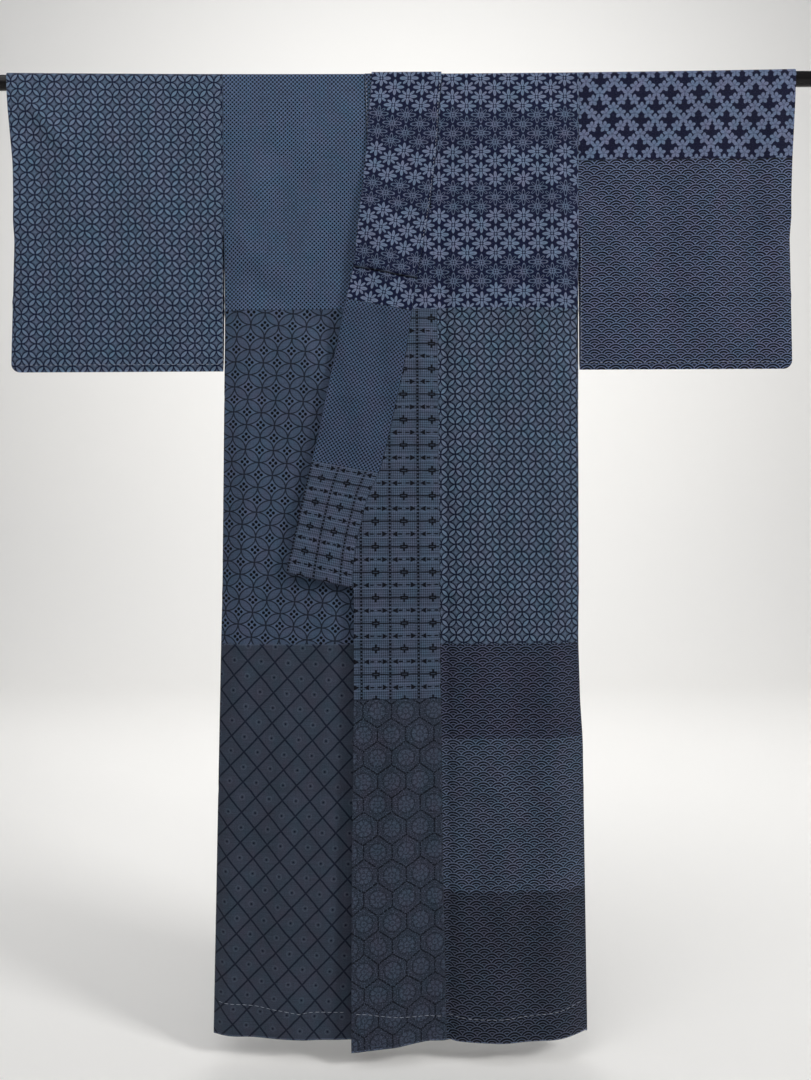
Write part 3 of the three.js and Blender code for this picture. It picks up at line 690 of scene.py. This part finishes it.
def woven(name, blocks, marks=()):
    """Matt pongee silk in blocks of pattern down its length, the same on front and back.

    blocks: how far down each starts, its pattern, its dark and its light colour. marks: fine lines across the
    cloth as how far down, half width and brightness. Threads 1.1 mm apart (two crossed sine waves), thick and thin
    yarns (long thin noise), a grain and soft clouds of noise vary the colour, roughness and bump.
    """
    material = bpy.data.materials.new(name)
    material.use_nodes = True
    tree = material.node_tree
    shader = tree.nodes["Principled BSDF"]
    place = add_node(tree, "UVMap", uv_map="cloth")
    split = add_node(tree, "SeparateXYZ")
    join(tree, (place.outputs["UV"], split.inputs[0]))
    u = Field(tree, split.outputs[0]) * 1000.0
    v = Field(tree, split.outputs[1]) * 1000.0
    down = size_of(v - RIDGE) - RIDGE
    drawn_u = u + noise(u, v, 16.0, 11.0) * 0.5
    drawn_v = noise(v, u, 13.0, 19.0) * 0.5 - down
    grain = noise(u, v, 2.6, 1.5, 3.0)
    slub = noise(u, v, 34.0, 1.7, 1.0)
    warp = noise(u, v, 1.6, 60.0, 1.0)
    cloud = noise(u, v, 60.0, 90.0, 3.0)
    stain = noise(v, u, 38.0, 27.0, 2.0)
    colour = None
    raised = None
    for start, pattern, dark, light in blocks:
        value = pattern(drawn_u, drawn_v) + grain * 0.13
        value.socket.node.use_clamp = True
        shade = blend(value, dye(*dark), dye(*light))
        if colour is None:
            colour, raised = shade, value
        else:
            share = 1 - below(down, start, 1.2)
            colour, raised = blend(share, colour, shade), between(share, raised, value)
    tint = blend(stain * 0.6 + 0.5, (0.86, 1.02, 1.04), (1.13, 0.97, 1.02))
    stained = add_node(tree, "VectorMath", operation="MULTIPLY")
    join(tree, (colour, stained.inputs[0]), (tint, stained.inputs[1]))
    strength = 1.0 + grain * 0.10 + slub * 0.15 + warp * 0.08 + cloud * 0.10
    # Each mark scales the brightness along a line across the cloth; the collar's darkest one is painted shadow.
    for at, half_width, brightness in marks:
        strength = strength * (line_at(down, at, half_width, 0.8) * (brightness - 1) + 1.0)
    lit = add_node(tree, "VectorMath", operation="SCALE")
    roughness = 0.84 + grain * 0.05 + slub * 0.04
    threads = number("SINE", u * (2 * math.pi / 1.1)) * number("SINE", v * (2 * math.pi / 1.1))
    height = threads * 0.35 + grain * 0.55 + slub * 0.5 + raised * 0.4
    bump = add_node(tree, "Bump", {"Strength": 0.55, "Distance": 0.00028})
    join(tree, (stained.outputs[0], lit.inputs[0]), (strength.socket, lit.inputs["Scale"]),
         (lit.outputs[0], shader.inputs["Base Color"]), (roughness.socket, shader.inputs["Roughness"]),
         (height.socket, bump.inputs["Height"]), (bump.outputs["Normal"], shader.inputs["Normal"]))
    shader.inputs["Specular IOR Level"].default_value = 0.12
    shader.inputs["Sheen Weight"].default_value = 0.10
    shader.inputs["Sheen Roughness"].default_value = 0.45
    return material


def dress(piece, node, material):
    """Gives a piece its material, hangs it from the root and hides the CAD part of that node."""
    piece.data.materials.append(material)
    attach(piece, "root")
    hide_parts(node)


FLOWER_DYES = ((5, 12, 42), (104, 117, 140))
RING_DYES = ((4, 7, 30), (97, 114, 134))
right_body_weave = woven("right_body_weave", [
    (0, wicker, (4, 7, 17), (84, 103, 130)), (378, large_rings, (4, 6, 15), (80, 95, 118)),
    (921, lattice, (19, 25, 40), (65, 73, 86)),
], [(378, 0.8, 0.6), (922, 0.9, 1.5), (-HEM_Z, 2.4, 2.4)])
left_body_weave = woven("left_body_weave", [
    (0, star_flowers, *FLOWER_DYES), (378, small_rings((108.9, -408.2), 0.66, 1.0), *RING_DYES),
    (921, waves(1.0), (4, 6, 15), (88, 96, 120)), (1073, waves(0.9), (4, 6, 15), (104, 118, 142)),
    (1320, waves(1.0), (4, 6, 15), (81, 90, 109)),
], [(-HEM_Z, 2.4, 2.4)])
body_right = body_panel("body_right_cloth", False, CLOTH)
body_left = body_panel("body_left_cloth", True, CLOTH)
dress(body_right, "body_right", right_body_weave)
dress(body_left, "body_left", left_body_weave)

# The sleeves: each one cloth folded over the shoulder, sewn along the foot and up the outer edge to the wrist
# opening. Below the armhole they hang free of the body.
SLEEVE_FOOT_Z = -475.0
SLEEVE_CORNER = 14.0
SLEEVE_THIN = 22.0
SLEEVE_DOWN = [-20, 40, 137, 200, 460]
SLEEVE_RIGHT = [-642, -640.5, -633, -633, -641]
SLEEVE_LEFT = [643.5, 641.5, 637, 635.5, 639.5]


def sleeve(name, is_left):
    """A sleeve: rows from the front foot over the rod to the back foot, columns from the body outwards.

    Half depth is the tube's, drawn to a thin edge at the foot and at the closed outer edge on quarter sines. No
    trough is so deep that front and back would touch.
    """
    sign = 1 if is_left else -1
    side_table, sleeve_table = (BODY_LEFT, SLEEVE_LEFT) if is_left else (BODY_RIGHT, SLEEVE_RIGHT)
    corner = SLEEVE_FOOT_Z + SLEEVE_CORNER * (1 - np.cos(np.linspace(0, math.pi / 2, 10)))
    down = np.concatenate([corner, np.linspace(SLEEVE_FOOT_Z + SLEEVE_CORNER + 4, 4, 92)])
    c = np.concatenate([[0, .004, .012], np.linspace(.03, .95, 58), [.965, .975, .984, .992, .997, 1]])[None, :]
    z = down[:, None]
    below = np.clip(SLEEVE_FOOT_Z + SLEEVE_CORNER - z, 0, SLEEVE_CORNER)
    reach = SLEEVE_CORNER - np.sqrt(SLEEVE_CORNER ** 2 - below ** 2)
    inner = soft(BODY_DOWN, side_table, -z) + sign * (GAP + 2 * share_of_step(-z, 244, 262))
    outer = soft(SLEEVE_DOWN, sleeve_table, -z) - sign * reach
    x = mix(inner, outer, c)
    closed = share_of_step(-z, 222, 266)
    edge = np.clip(np.abs(outer - x) / SLEEVE_THIN, 0, 1)
    foot = np.clip((z - SLEEVE_FOOT_Z) / SLEEVE_THIN, 0, 1)
    thin = mix(1, np.sin(edge * math.pi / 2), closed) * np.sin(foot * math.pi / 2)
    depth = 0.8 + (soft(TUBE_DOWN, TUBE_SLEEVE, -z) - 0.8) * thin
    sides = []
    for facing, folds in ((-1, FRONT_FOLDS), (1, BACK_FOLDS)):
        height = fold_height(folds, x, z) * share_of_step(-z, 0, 60) * share_of_step(-z, 475, 400)
        height = np.maximum(height, np.minimum(2.0 - depth, 0))
        sides.append(places(x, facing * (depth + height), z))
    y, top_z = over_rod(ROD_TURNS[:, None], UNDER_RISE)
    top_x = mix(soft(BODY_DOWN, side_table, 0.0) + sign * GAP, soft(SLEEVE_DOWN, sleeve_table, 0.0), c)
    top = places(top_x, y, top_z)
    points = np.concatenate([sides[0], top, sides[1][::-1]])
    v = np.concatenate([down, RIDGE + ROD_TURNS, 2 * RIDGE - down[::-1]])
    uv = places(points[..., 0], v[:, None]) / 1000.0
    return cloth_piece(name, points, uv, CLOTH)


def blossoms(u, v):
    """Six five-petalled blossoms in each cell of 46 by 43 mm: circles whose radius swells by cos(5 * angle)."""
    leaning = u - (v + 5.4) * 0.047
    marks = []
    for middle, apart, drop in ((0.0, 0.0, 0.0), (0.0, 11.2, 9.1), (0.5, 0.0, 18.9), (0.5, 10.6, 30.9)):
        right = size_of(nearest(leaning, 393.4, 46.1, middle)) - apart
        up = nearest(v, -5.4 - drop, 43.3)
        way = distance(right, up)
        petals = number("COSINE", number("ARCTAN2", right, up) * 5.0)
        flower = below(way - petals * 1.6, 7.7, 0.8)
        specks = below(petals, -0.6, 0.4) * line_at(way, 5.6, 2.6, 0.8) * 0.5
        heart = line_at(way, 1.2, 1.0, 0.7) * 0.4
        marks.append(flower * (1 - specks) * (1 - heart))
    return most(*marks) * (0.94 + noise(u, v, 4.0, 3.0) * 0.2)


right_sleeve_weave = woven("right_sleeve_weave", [
    (0, small_rings((-516.2, -89.1), 0.66, 1.06), (4, 11, 39), (97, 114, 134)),
], [(-SLEEVE_FOOT_Z, 2.2, 1.4)])
left_sleeve_weave = woven("left_sleeve_weave", [
    (0, blossoms, (6, 10, 38), (101, 113, 138)), (134, waves(1.0), (4, 6, 15), (109, 122, 153)),
], [(134, 1.0, 0.5), (-SLEEVE_FOOT_Z, 2.2, 1.4)])
sleeve_right = sleeve("sleeve_right_cloth", False)
sleeve_left = sleeve("sleeve_left_cloth", True)
dress(sleeve_right, "sleeve_right", right_sleeve_weave)
dress(sleeve_left, "sleeve_left", left_sleeve_weave)

# The front gores (okumi): half-width strips sewn between the body fronts and the collar, from a narrow tip at the
# collar's seam down to the hem.


def gore(name, is_left):
    """A gore: rows up from the hem, columns from its front edge, or the collar's seam, to its seam on the body."""
    heights = np.concatenate([np.linspace(HEM_Z, -420, 260), np.linspace(-415.5, OKUMI_TIP_Z, 45)])
    z = heights[:, None]
    c = np.concatenate([[0, .012, .03], np.linspace(.07, .93, 17), [.97, .988, 1]])[None, :]
    under_collar = share_of_step(z, -834, -826)
    outside = mix(soft(OKUMI_DOWN, OKUMI_FRONT, -z), soft(COLLAR_DOWN, COLLAR_SEAM, -z), under_collar)
    across = mix(outside + GAP / 2, soft(OKUMI_DOWN, OKUMI_SEAM, -z) - GAP / 2, c)
    x = across if is_left else 2 * MIRROR_X - across
    points = front_surface(x, z, OVER_RISE if is_left else UNDER_RISE, is_left)
    points[..., 1] += seam_dip(x, x[:, -1:], z)
    uv = places(x, z) / 1000.0
    return cloth_piece(name, points, uv, CLOTH)


def crosses(u, v):
    """Crosses, bars and arrowheads in cells of 46 by 41 mm between dashed upright lines, on a streaky ground."""
    right = size_of(nearest(u, -21.5, 46.0))
    up = size_of(nearest(v, -804.7, 41.0))
    from_cross = size_of(right - 23.0)
    from_arrows = 20.5 - up
    dashes = below(right, 1.9, 0.8) * below(ripple(v, 5.7), 0.3, 0.5)
    shade = below(right, 4.5, 5.0) * 0.22
    band = below(up, 1.3, 0.8)
    cross = below(from_cross, 1.6, 0.8) * below(up, 7.3, 0.8)
    bar = below(from_cross, 6.3, 0.8) * below(up, 3.1, 0.8)
    slit = below(from_cross, 3.6, 0.8) * below(up, 0.7, 0.6)
    arrow = line_at(right, 8.2, 4.2, 0.8) * below(from_arrows - (right - 3.4) * 0.5, 0.0, 0.8)
    dash = line_at(right, 17.0, 3.2, 0.8) * below(from_arrows, 1.2, 0.8)
    streak = line_at(from_arrows, 5.2, 0.9, 0.8) * 0.4
    bars = line_at(from_arrows, 8.5, 0.8, 0.8) * 0.3
    hatch = ripple(v, 3.9) * 0.2 + ripple(u, 3.4) * 0.24
    marks = most(dashes, band * 0.85, cross, bar, arrow, dash, shade, bars)
    return (0.66 + streak + hatch) * (1 - marks) + slit * 0.35


def hexagons(u, v):
    """A net of hexagons 46 by 71 mm about petalled roundels, both in low contrast.

    The net is where the greater of x / 22.7 and 0.0259 x + 0.0392 y, least over the nearest centres, comes to 1.
    """
    ways, rounds, angles = [], [], []
    for shift in (0.0, 0.5):
        x = size_of(nearest(u, -42.7, 45.5, shift))
        y = size_of(nearest(v, -1251.1, 74.6, shift))
        ways.append(most(x * (1 / 22.7), x * 0.0259 + y * 0.0385))
        rounds.append(distance(x, y))
        angles.append(number("ARCTAN2", x, y))
    first = below(ways[0] - ways[1], 0.0, 0.01)
    way, radius = least(*ways), least(*rounds)
    angle = between(first, angles[1], angles[0])
    net = line_at(way, 1.0, 0.045, 0.05)
    petals = below(number("COSINE", angle * 8.0), 0.3, 0.5) * line_at(radius, 9.4, 2.6, 1.0)
    rim = line_at(radius, 14.2, 0.9, 0.9)
    heart = line_at(radius, 2.8, 1.1, 0.9)
    seeds = 1 - below(noise(u, v, 2.2, 2.0, 1.0), 0.35, 0.3)
    return 0.40 + petals * 0.36 + heart * 0.34 + seeds * 0.7 - rim * 0.2 - net * 0.36


okumi_weave = woven("okumi_weave", [
    (0, star_flowers, *FLOWER_DYES), (379, crosses, (4, 6, 15), (79, 92, 112)),
    (1010, hexagons, (4, 6, 15), (69, 78, 94)),
], [(1010, 0.9, 1.3), (-HEM_Z, 2.4, 2.4)])
okumi_right = gore("okumi_right_cloth", False)
okumi_left = gore("okumi_left_cloth", True)
dress(okumi_right, "okumi_right", okumi_weave)
dress(okumi_left, "okumi_left", okumi_weave)

# The collar: a folded band sewn to the neck and the fronts, with an over-collar over its upper part. The right
# one lies under the left one; both over-collars go over the rod to the folded stretch behind the neck.
COLLAR_FOOT_Z = -830.0
OVER_COLLAR_FOOT_Z = -329.0
COLLAR_OVERLAP = 12.0
COLLAR_WIDTH = 115.0
RIGHT_COLLAR_SHIFT = 400.0
BACK_COLLAR_HEIGHT = 57.0
NECK_CLEARANCE = 0.9
WICKER_Z = -382.0
CROSS_Z = -645.0


def collar_edges(is_left, z):
    """A collar's seam edge at z, and its free edge where the slanting line across it ends: x, x and z."""
    free_z = z + soft(TILT_DOWN, TILT_RISE, -z)
    free = soft(COLLAR_DOWN, COLLAR_FREE, -free_z)
    if is_left:
        return soft(COLLAR_DOWN, COLLAR_SEAM, -z) - GAP / 2, free, free_z
    return soft(COLLAR_DOWN, COLLAR_UNDER, -z) + GAP / 2, 2 * MIRROR_X - free, free_z


def collar_way(z):
    """The way along the collar's seam edge from the rod's middle to z, below nought downwards: its true length."""
    down = np.linspace(0, 900, 451)
    seam = soft(COLLAR_DOWN, COLLAR_SEAM, down)
    way = np.concatenate([[0], np.cumsum(np.hypot(np.diff(down), np.diff(seam)))])
    return np.where(z > 0, z, -np.interp(-z, down, way))


def collar_stretch(name, is_left, from_z, to_z, rise_at, over_top):
    """A stretch of collar: rows up between two heights of its seam edge, columns from its free edge to its seam.

    Its UV place runs across from the seam and along the collar, so its weave turns with it.
    """
    heights = np.linspace(to_z, from_z, int((from_z - to_z) / 6) + 2)
    z = heights[:, None]
    c = np.concatenate([[0, .01, .03, .06], np.linspace(.1, .9, 17), [.94, .97, .99, 1]])[None, :]
    seam, free, free_z = collar_edges(is_left, z)
    x = mix(free, seam, c)
    points = front_surface(x, mix(free_z, z, c), rise_at(z), is_left)
    v = np.broadcast_to(collar_way(z), x.shape)
    if over_top:
        turns = ROD_TURNS[:, None]
        y, top_z = over_rod(turns, rise_at(SHOULDER_Z))
        seam, free, free_z = collar_edges(is_left, 0.0)
        top = places(mix(free, seam, c), y, top_z)
        points = np.concatenate([points, top])
        v = np.concatenate([v, np.broadcast_to(RIDGE + turns, top.shape[:2])])
    across = np.broadcast_to((c - 1) * COLLAR_WIDTH * (1 if is_left else -1), v.shape)
    uv = np.stack([across, v - (0 if is_left else RIGHT_COLLAR_SHIFT)], axis=-1) / 1000.0
    return cloth_piece(name, points, uv, COLLAR_CLOTH)


def left_over_rise(z):
    """The left over-collar's rise: lifted at its lower end, where it lies on the collar's own top."""
    return mix(TOP_COLLAR_RISE, OVER_COLLAR_RISE, share_of_step(np.asarray(z), OVER_COLLAR_FOOT_Z + 20, -200.0))


def flat_rise(rise):
    """A rise that is the same at each height."""
    return lambda z: rise


collar_right = collar_stretch("collar_right_cloth", False, OVER_COLLAR_FOOT_Z - 1.0, COLLAR_FOOT_Z,
                              flat_rise(UNDER_COLLAR_RISE), False)
over_collar_right = collar_stretch("over_collar_right_cloth", False, 4.0, OVER_COLLAR_FOOT_Z,
                                   flat_rise(UNDER_COLLAR_RISE), True)
collar_left = collar_stretch("collar_left_cloth", True, OVER_COLLAR_FOOT_Z + COLLAR_OVERLAP, COLLAR_FOOT_Z,
                             flat_rise(OVER_COLLAR_RISE), False)
over_collar_left = collar_stretch("over_collar_left_cloth", True, 4.0, OVER_COLLAR_FOOT_Z, left_over_rise, True)


def back_collar(name):
    """The folded stretch behind the neck: rows from the neck's seam up the stand and over the rod to its fold.

    Its seam follows the ellipse of the neck; at the fold it lies over both front stretches, so it rises there.
    """
    c = np.linspace(0, 1, 49)[None, :]
    x = mix(front_edge(False, 0.0) + GAP, front_edge(True, 0.0) - GAP, c)
    neck = np.sqrt(1 - np.clip(np.abs(x / front_edge(True, 0.0)), 0, 1) ** 2)
    neck_z = ROD_HEIGHT / 2 - BACK_NECK_DROP * neck
    stand = np.maximum(SHOULDER_Z - neck_z - NECK_CLEARANCE, 1.0)
    fold_turn = STRAIGHT_TURN + SHOULDER_Z - (ROD_HEIGHT / 2 - BACK_NECK_DROP) - BACK_COLLAR_HEIGHT
    shares = np.linspace(1, 0, 12)[:, None]
    flat_turns = np.linspace(STRAIGHT_TURN - 1, fold_turn + FOLDED_COLLAR / 2, 20)[:, None]
    outside = np.concatenate([STRAIGHT_TURN + stand * shares, np.broadcast_to(flat_turns, (20, 49))])
    bend = np.linspace(0, math.pi, 9)[1:-1, None]
    fold = np.broadcast_to(flat_turns[-1] - FOLDED_COLLAR / 2 * np.sin(bend), (7, 49))
    turn = np.concatenate([outside, fold, outside[::-1]])
    sunk = np.concatenate([np.zeros(32), FOLDED_COLLAR / 2 * (1 - np.cos(bend[:, 0])), np.full(32, FOLDED_COLLAR)])
    rise = mix(GAP + FOLDED_COLLAR, BACK_COLLAR_RISE, share_of_step(-turn, -30, -18)) - sunk[:, None]
    y, z = over_rod(turn, rise)
    z = z - bow_drop(x, 0.0)
    points = places(x, y, z)
    way = np.concatenate([outside[:, 24], fold[:, 24] - 2, 2 * fold_turn - outside[::-1, 24]])
    uv = places(x, RIDGE + way[:, None]) / 1000.0
    if np.cross(points[0, -1] - points[0, 0], points[3, 0] - points[0, 0])[1] < 0:
        points, uv = points[:, ::-1], uv[:, ::-1]
    return walled(name, points, uv, CLOTH)


over_collar_back = back_collar("over_collar_back_cloth")

OVER_COLLAR_END = -float(collar_way(OVER_COLLAR_FOOT_Z))
WICKER_START = -float(collar_way(WICKER_Z))
CROSS_START = -float(collar_way(CROSS_Z))
# The collar's first mark, a dark line just below the over-collar's end, is painted shadow cast by that end.
collar_weave = woven("collar_weave", [
    (0, star_flowers, *FLOWER_DYES), (WICKER_START, wicker, (4, 7, 17), (74, 90, 115)),
    (CROSS_START, crosses, (4, 6, 15), (82, 94, 115)),
], [(OVER_COLLAR_END + 1.2, 1.3, 0.3), (WICKER_START, 0.8, 0.6), (CROSS_START, 0.8, 0.6),
    (-float(collar_way(COLLAR_FOOT_Z)), 2.2, 2.2)])
for piece, node in (
    (collar_right, "collar_right"), (collar_left, "collar_left"), (over_collar_right, "over_collar_right"),
    (over_collar_left, "over_collar_left"), (over_collar_back, "over_collar_back"),
):
    dress(piece, node, collar_weave)

# The threads: running stitches in pale silk that show on the right side, along the hems, the sleeves' feet and
# free edges and the collar's seams. Each stitch is a flat spindle laid on the cloth.
from mathutils.bvhtree import BVHTree

THREAD = 0.42
SPINDLE = ((0, 0.15), (0.2, 0.8), (0.5, 1.0), (0.8, 0.8), (1, 0.15))


def stitches(name, cloth, path, stitch, gap):
    """Stitches on the front of a cloth along a path of x and z: six-sided spindles, thickest in their middle."""
    points = np.array([tuple(vertex.co) for vertex in cloth.data.vertices])
    finder = BVHTree.FromPolygons(points.tolist(), [tuple(face.vertices) for face in cloth.data.polygons])
    path = np.array(path, dtype=float)
    way = np.concatenate([[0], np.cumsum(np.hypot(*np.diff(path, axis=0).T))])
    starts = np.arange(0, way[-1] - stitch, stitch + gap)
    ring = np.linspace(0, 2 * math.pi, 7)[:-1]
    vertices, faces = [], []
    for count, start in enumerate(starts):
        shift = 0.35 * math.sin(count * 2.4)
        spine = []
        for share, radius in SPINDLE:
            at = start + share * (stitch + shift)
            x, z = np.interp(at, way, path[:, 0]), np.interp(at, way, path[:, 1])
            hit = finder.ray_cast((x / 1000, -1.0, z / 1000), (0, 1, 0))[0]
            if hit is not None:
                spine.append((np.array(hit) * 1000, radius))
        if len(spine) < len(SPINDLE):
            continue
        along = spine[-1][0] - spine[0][0]
        side = np.cross(along / np.linalg.norm(along), (0, -1, 0))
        first = len(vertices)
        for middle, radius in spine:
            lift = np.array((0, -0.12 - 0.1 * radius, 0))
            for angle in ring:
                vertices.append(middle + lift + radius * THREAD * (
                    math.cos(angle) * side + 0.5 * math.sin(angle) * np.array((0, -1, 0))))
        for row in range(4):
            for column in range(6):
                here, beside = first + row * 6 + column, first + row * 6 + (column + 1) % 6
                faces.append((here, beside, beside + 6, here + 6))
        faces.append(tuple(first + column for column in reversed(range(6))))
        faces.append(tuple(first + 24 + column for column in range(6)))
    mesh = bpy.data.meshes.new(name)
    mesh.from_pydata((np.array(vertices) / 1000).tolist(), [], faces)
    return placed(name, mesh)


def thread_finish(tree):
    """Pale slate silk thread: twist lines and noise on Object place vary its colour and bump."""
    place = add_node(tree, "TexCoord")
    spots = add_node(tree, "TexNoise", {"Scale": 300.0})
    twist = add_node(tree, "TexWave", {"Scale": 220.0})
    shade = add_node(tree, "ValToRGB")
    shade.color_ramp.elements[0].color = (*dye(98, 106, 122), 1.0)
    shade.color_ramp.elements[1].color = (*dye(172, 178, 190), 1.0)
    bump = add_node(tree, "Bump", {"Strength": 0.4, "Distance": 0.0001})
    shader = tree.nodes["Principled BSDF"]
    join(tree, (place.outputs["Object"], spots.inputs["Vector"]), (place.outputs["Object"], twist.inputs["Vector"]),
         (spots.outputs[0], shade.inputs[0]), (twist.outputs[0], bump.inputs["Height"]),
         (shade.outputs["Color"], shader.inputs["Base Color"]), (bump.outputs["Normal"], shader.inputs["Normal"]))


thread_silk = plain_material("thread_silk", dye(140, 148, 162), 0.6)
thread_finish(thread_silk.node_tree)
RIGHT_HEM = [(-305, -1505), (-243, -1508), (-198, -1512), (-170, -1518), (-158, -1515), (-92, -1515)]
LEFT_HEM = [(70, -1519), (108, -1522), (156, -1521), (204, -1519), (254, -1512), (291, -1505)]
GORE_HEM = [(-79, -1508), (-41, -1513), (13, -1518), (60, -1520)]
seam_down = np.linspace(-8, -270, 40)
left_seam = [(soft(COLLAR_DOWN, COLLAR_SEAM, -z) - 1.8, z) for z in seam_down]
right_seam = [(soft(COLLAR_DOWN, COLLAR_UNDER, -z) + 1.8, z) for z in seam_down[:16]]
hem_right = stitches("hem_stitches_right", body_right, RIGHT_HEM, 7.5, 2.5)
hem_left = stitches("hem_stitches_left", body_left, LEFT_HEM, 7.5, 2.5)
hem_gore = stitches("hem_stitches_gore", okumi_left, GORE_HEM, 7.5, 2.5)
foot_right = stitches("sleeve_stitches_right", sleeve_right,
                      [(-291.8, -270), (-293.2, -380), (-294.2, -464), (-632, -464)], 5.0, 3.0)
foot_left = stitches("sleeve_stitches_left", sleeve_left,
                     [(293.4, -262), (293.4, -380), (293.2, -464), (631, -464)], 5.0, 3.0)
collar_seam_left = stitches("collar_stitches_left", over_collar_left, left_seam, 3.4, 2.6)
collar_seam_right = stitches("collar_stitches_right", over_collar_right, right_seam, 3.4, 2.6)
for piece, node, slot in (
    (hem_right, "body_right", "right_body_weave"), (hem_left, "body_left", "left_body_weave"),
    (hem_gore, "okumi_left", "okumi_weave"), (foot_right, "sleeve_right", "right_sleeve_weave"),
    (foot_left, "sleeve_left", "left_sleeve_weave"), (collar_seam_left, "over_collar_left", "collar_weave"),
    (collar_seam_right, "over_collar_right", "collar_weave"),
):
    dress(piece, node, thread_silk)
